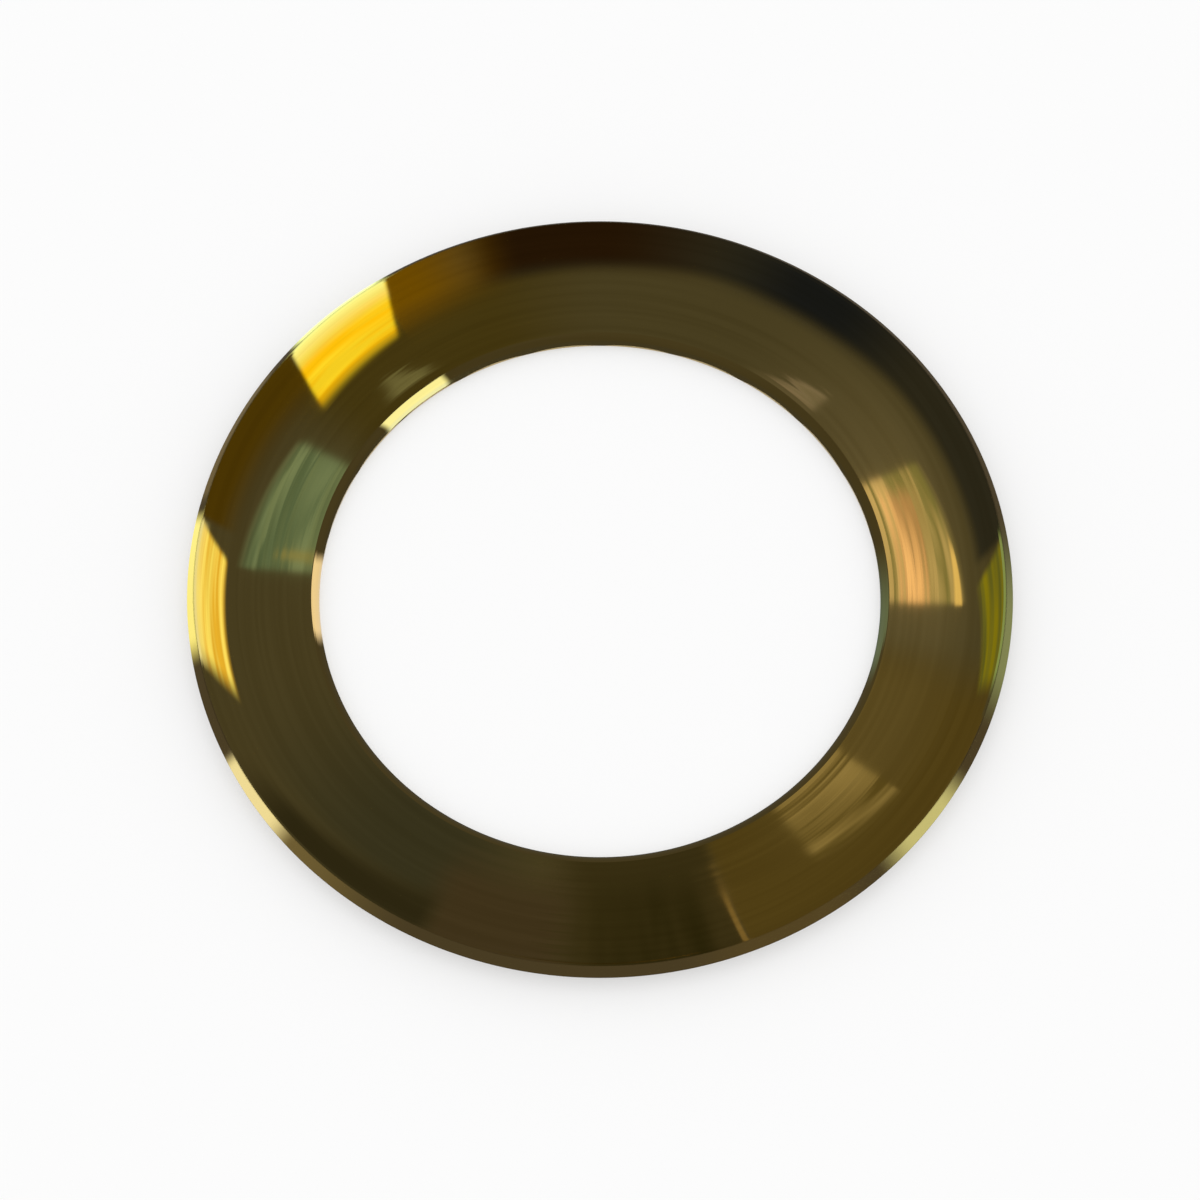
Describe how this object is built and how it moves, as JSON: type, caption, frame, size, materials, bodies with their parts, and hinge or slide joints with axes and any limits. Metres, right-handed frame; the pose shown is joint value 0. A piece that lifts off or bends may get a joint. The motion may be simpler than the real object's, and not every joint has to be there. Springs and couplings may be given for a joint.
{
  "type": "wear washer",
  "caption": "Flat ring with a large bore and a turned-up rounded rim, placed as a sacrificial wear surface between turning faces.",
  "frame": {"origin": "centre of the bore, in the plane of the flat underside", "axes": "+Z along the bore axis, towards the side that the rim turns up to"},
  "size_m": [0.05, 0.05, 0.0019],
  "materials": {
    "turned_brass": "turned and polished, with fine ring marks and slight tarnish"
  },
  "bodies": {
    "root": {"wear_washer": "turned_brass"}
  },
  "joints": []
}
